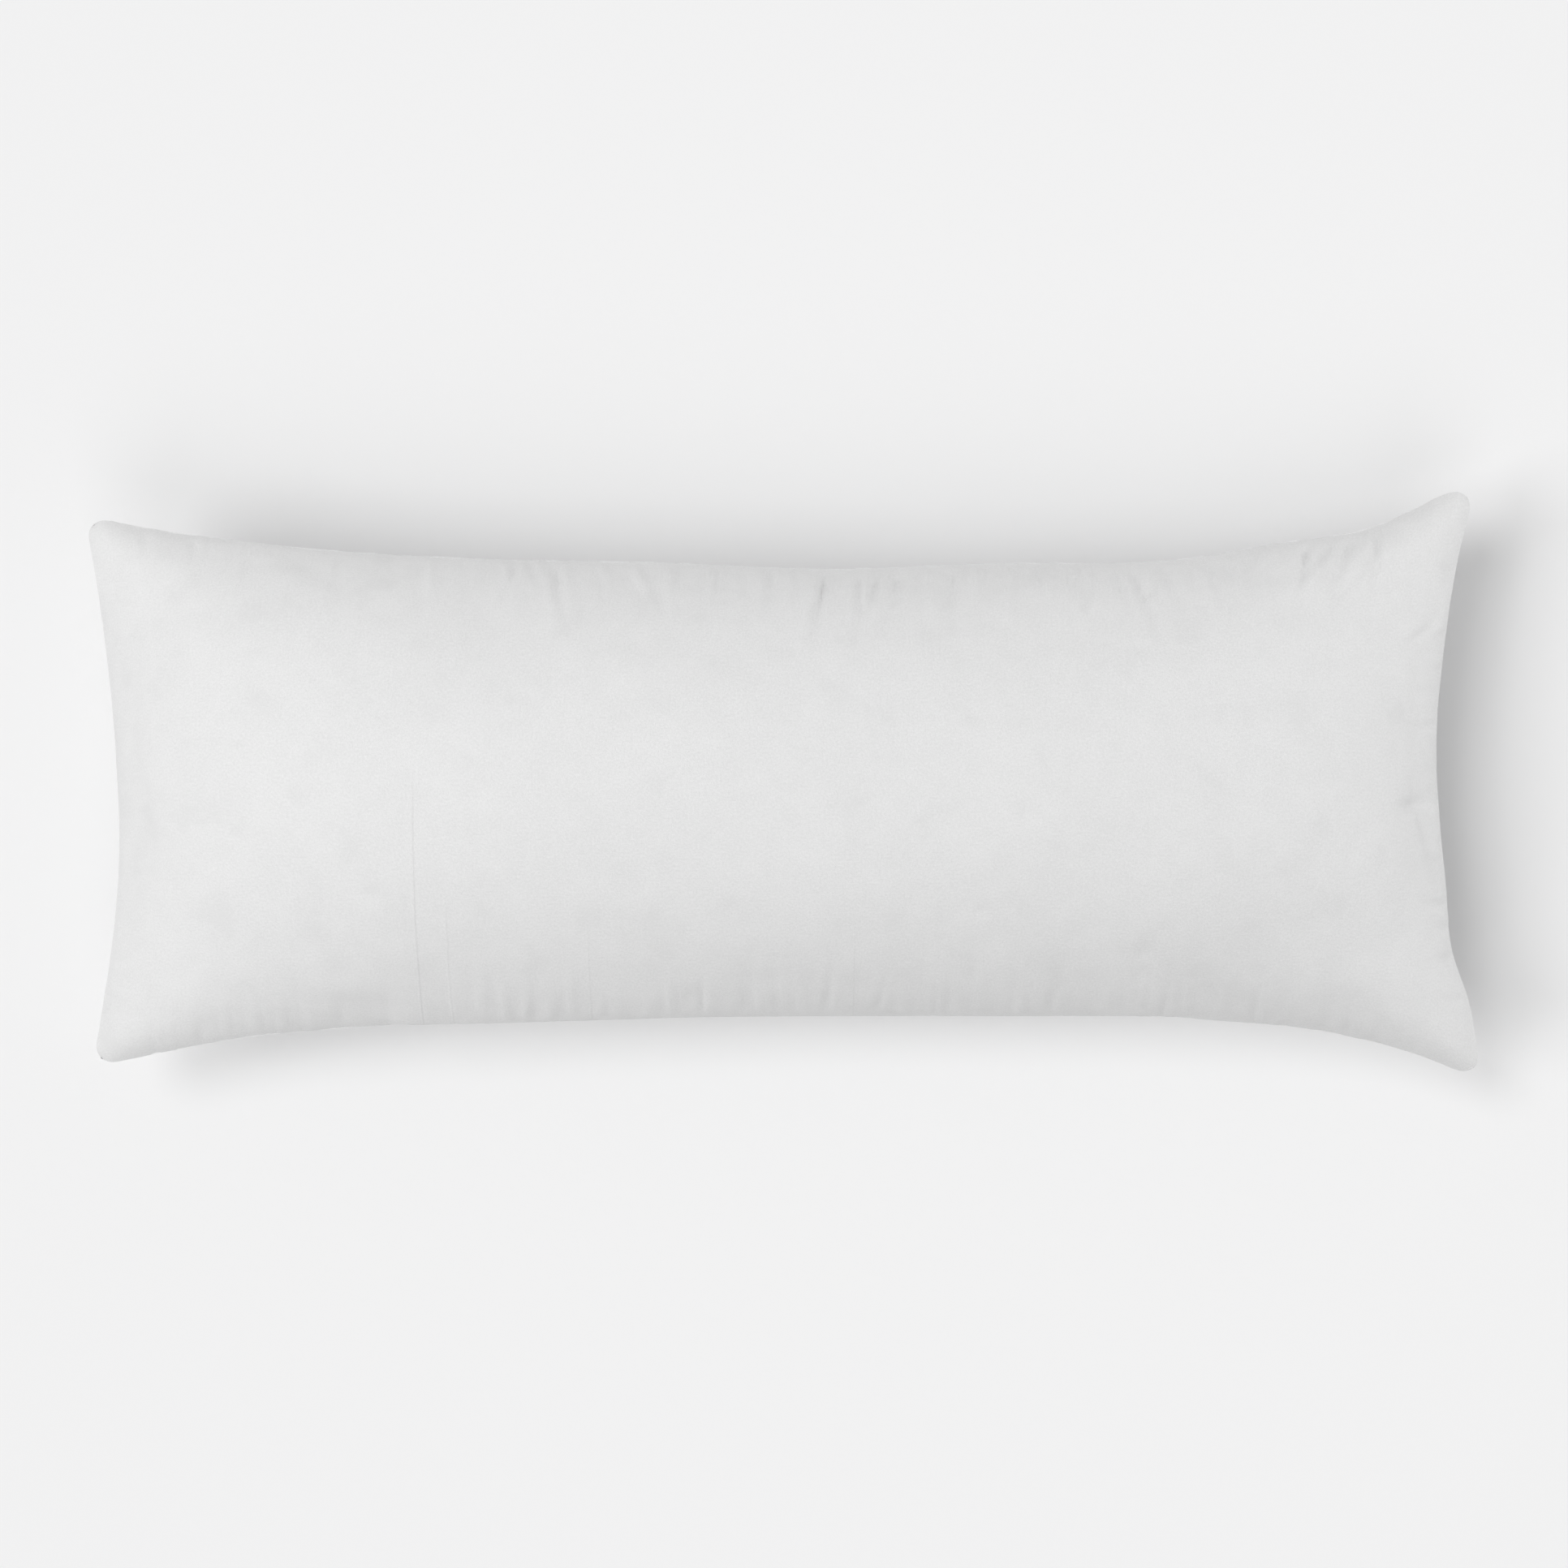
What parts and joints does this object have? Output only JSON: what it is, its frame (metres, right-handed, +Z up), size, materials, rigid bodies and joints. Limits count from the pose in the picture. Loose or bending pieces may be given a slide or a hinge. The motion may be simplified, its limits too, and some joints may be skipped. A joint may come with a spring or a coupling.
{
  "type": "bed pillow",
  "caption": "Long soft bed pillow lying flat: a white woven cover with knife-edge seams and a hidden zip along one long side, over a sewn fibre-filled insert.",
  "frame": {"origin": "on the resting plane, under the centre of the pillow's box", "axes": "+X along the length, +Y across towards the long side without the zip, +Z up"},
  "size_m": [1.186, 0.4982, 0.2],
  "materials": {
    "cover_cotton": "matt white plain-weave cotton",
    "ticking": "matt off-white ticking",
    "polyester_fibre": "loose white fibre",
    "sewing_thread": "white spun thread",
    "zip_tape": "woven white tape",
    "zip_nylon": "satin white nylon",
    "zip_metal": "satin nickel"
  },
  "bodies": {
    "pillow": {"cover_top_panel": "cover_cotton", "cover_bottom_panel": "cover_cotton", "cover_seam_thread": "sewing_thread", "zipper_tape_upper": "zip_tape", "zipper_tape_lower": "zip_tape", "zipper_coil_upper": "zip_nylon", "zipper_coil_lower": "zip_nylon", "zipper_stitching_upper": "sewing_thread", "zipper_stitching_lower": "sewing_thread", "zipper_top_stop": "zip_nylon", "zipper_bottom_stop": "zip_nylon", "insert_ticking_top": "ticking", "insert_ticking_bottom": "ticking", "insert_seam_thread": "sewing_thread", "insert_closing_stitch": "sewing_thread", "filling": "polyester_fibre"},
    "slider": {"zipper_slider": "zip_metal"},
    "pull": {"zipper_pull": "zip_metal"}
  },
  "joints": [
    {"name": "zip_slide", "type": "slide", "parent": "pillow", "child": "slider", "axis": [1, 0, 0], "range_m": [-0.42, 0]},
    {"name": "pull_swing", "type": "hinge", "parent": "slider", "child": "pull", "pos_m": [0.21279, -0.19659, 0.07396], "axis": [-1, 0, 0], "range_deg": [-12, 160]}
  ]
}
